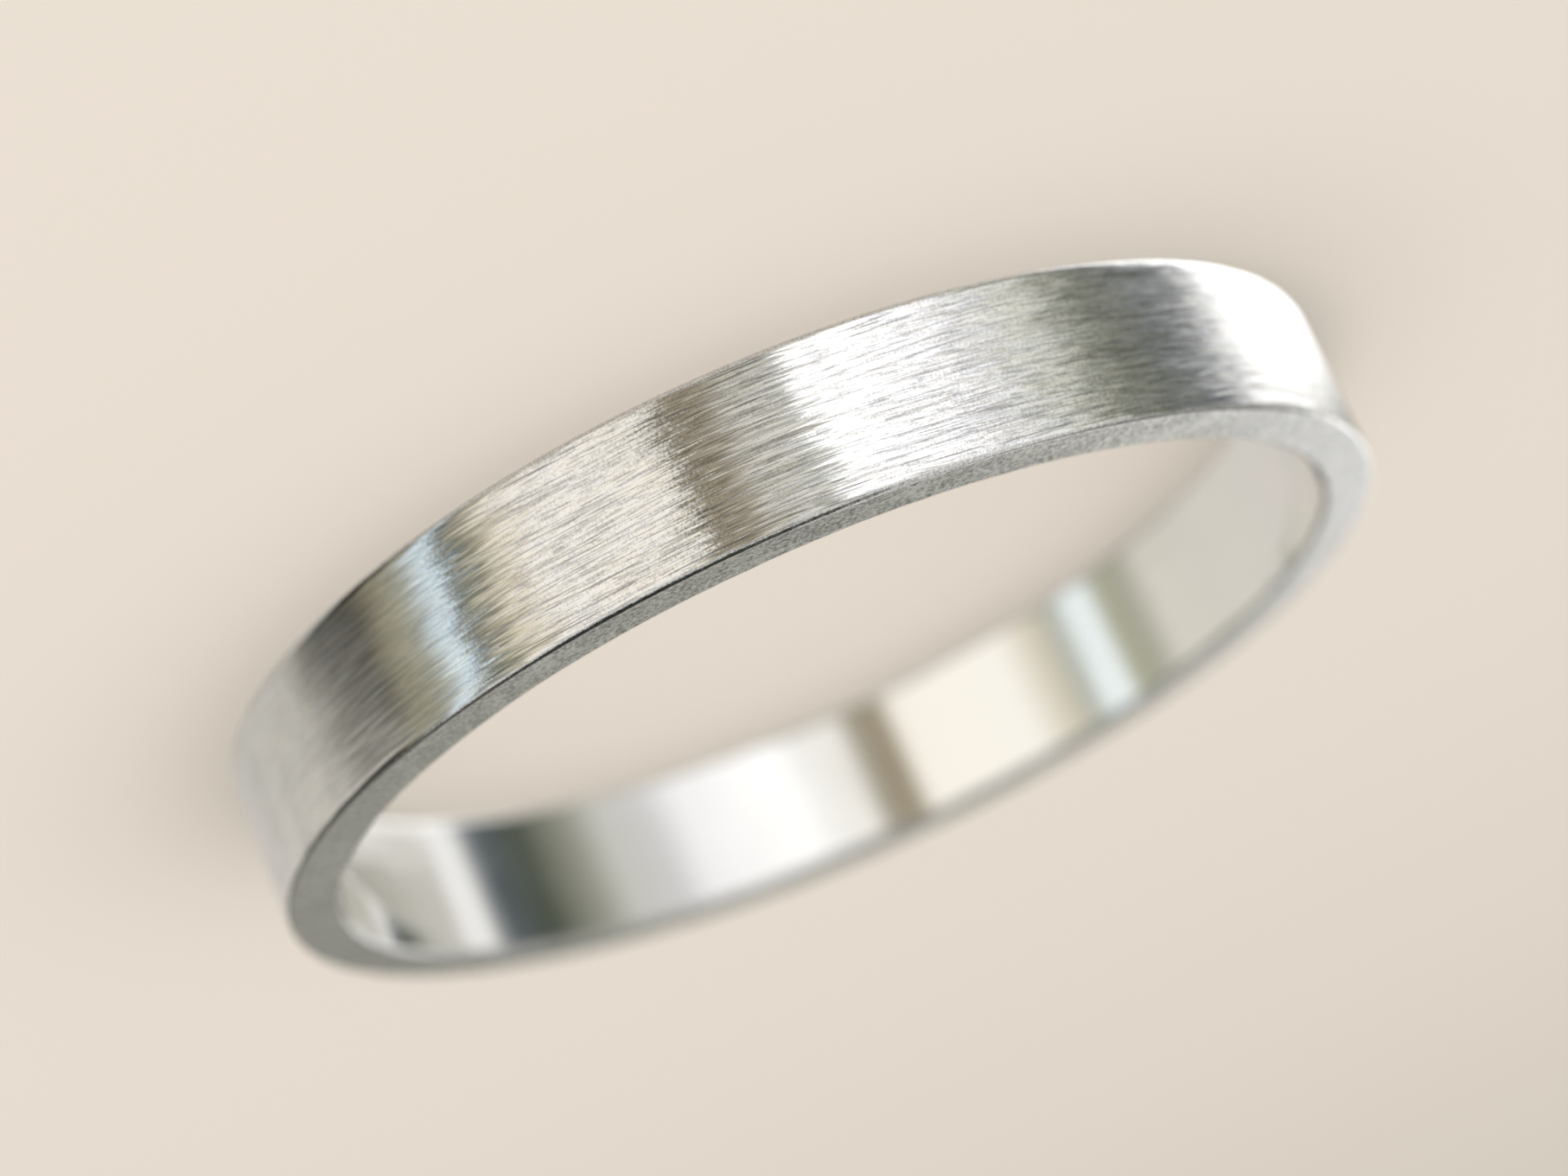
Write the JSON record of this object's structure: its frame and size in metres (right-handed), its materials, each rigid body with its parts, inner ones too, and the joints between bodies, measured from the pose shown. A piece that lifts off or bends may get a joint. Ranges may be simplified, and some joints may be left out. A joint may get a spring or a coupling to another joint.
{
  "type": "wedding band",
  "caption": "Plain flat wedding band: a round finger ring of rectangular section, brushed outside, satin on its flat sides and polished in the bore.",
  "frame": {"origin": "centre of the finger hole, half-way along the band's width", "axes": "+Z along the finger-hole axis, so the ring lies flat on its lower side; X and Y across the ring, which is round about Z"},
  "size_m": [0.0218, 0.0218, 0.003],
  "materials": {
    "white_metal": "satin"
  },
  "bodies": {
    "root": {"band": "white_metal"}
  },
  "joints": []
}
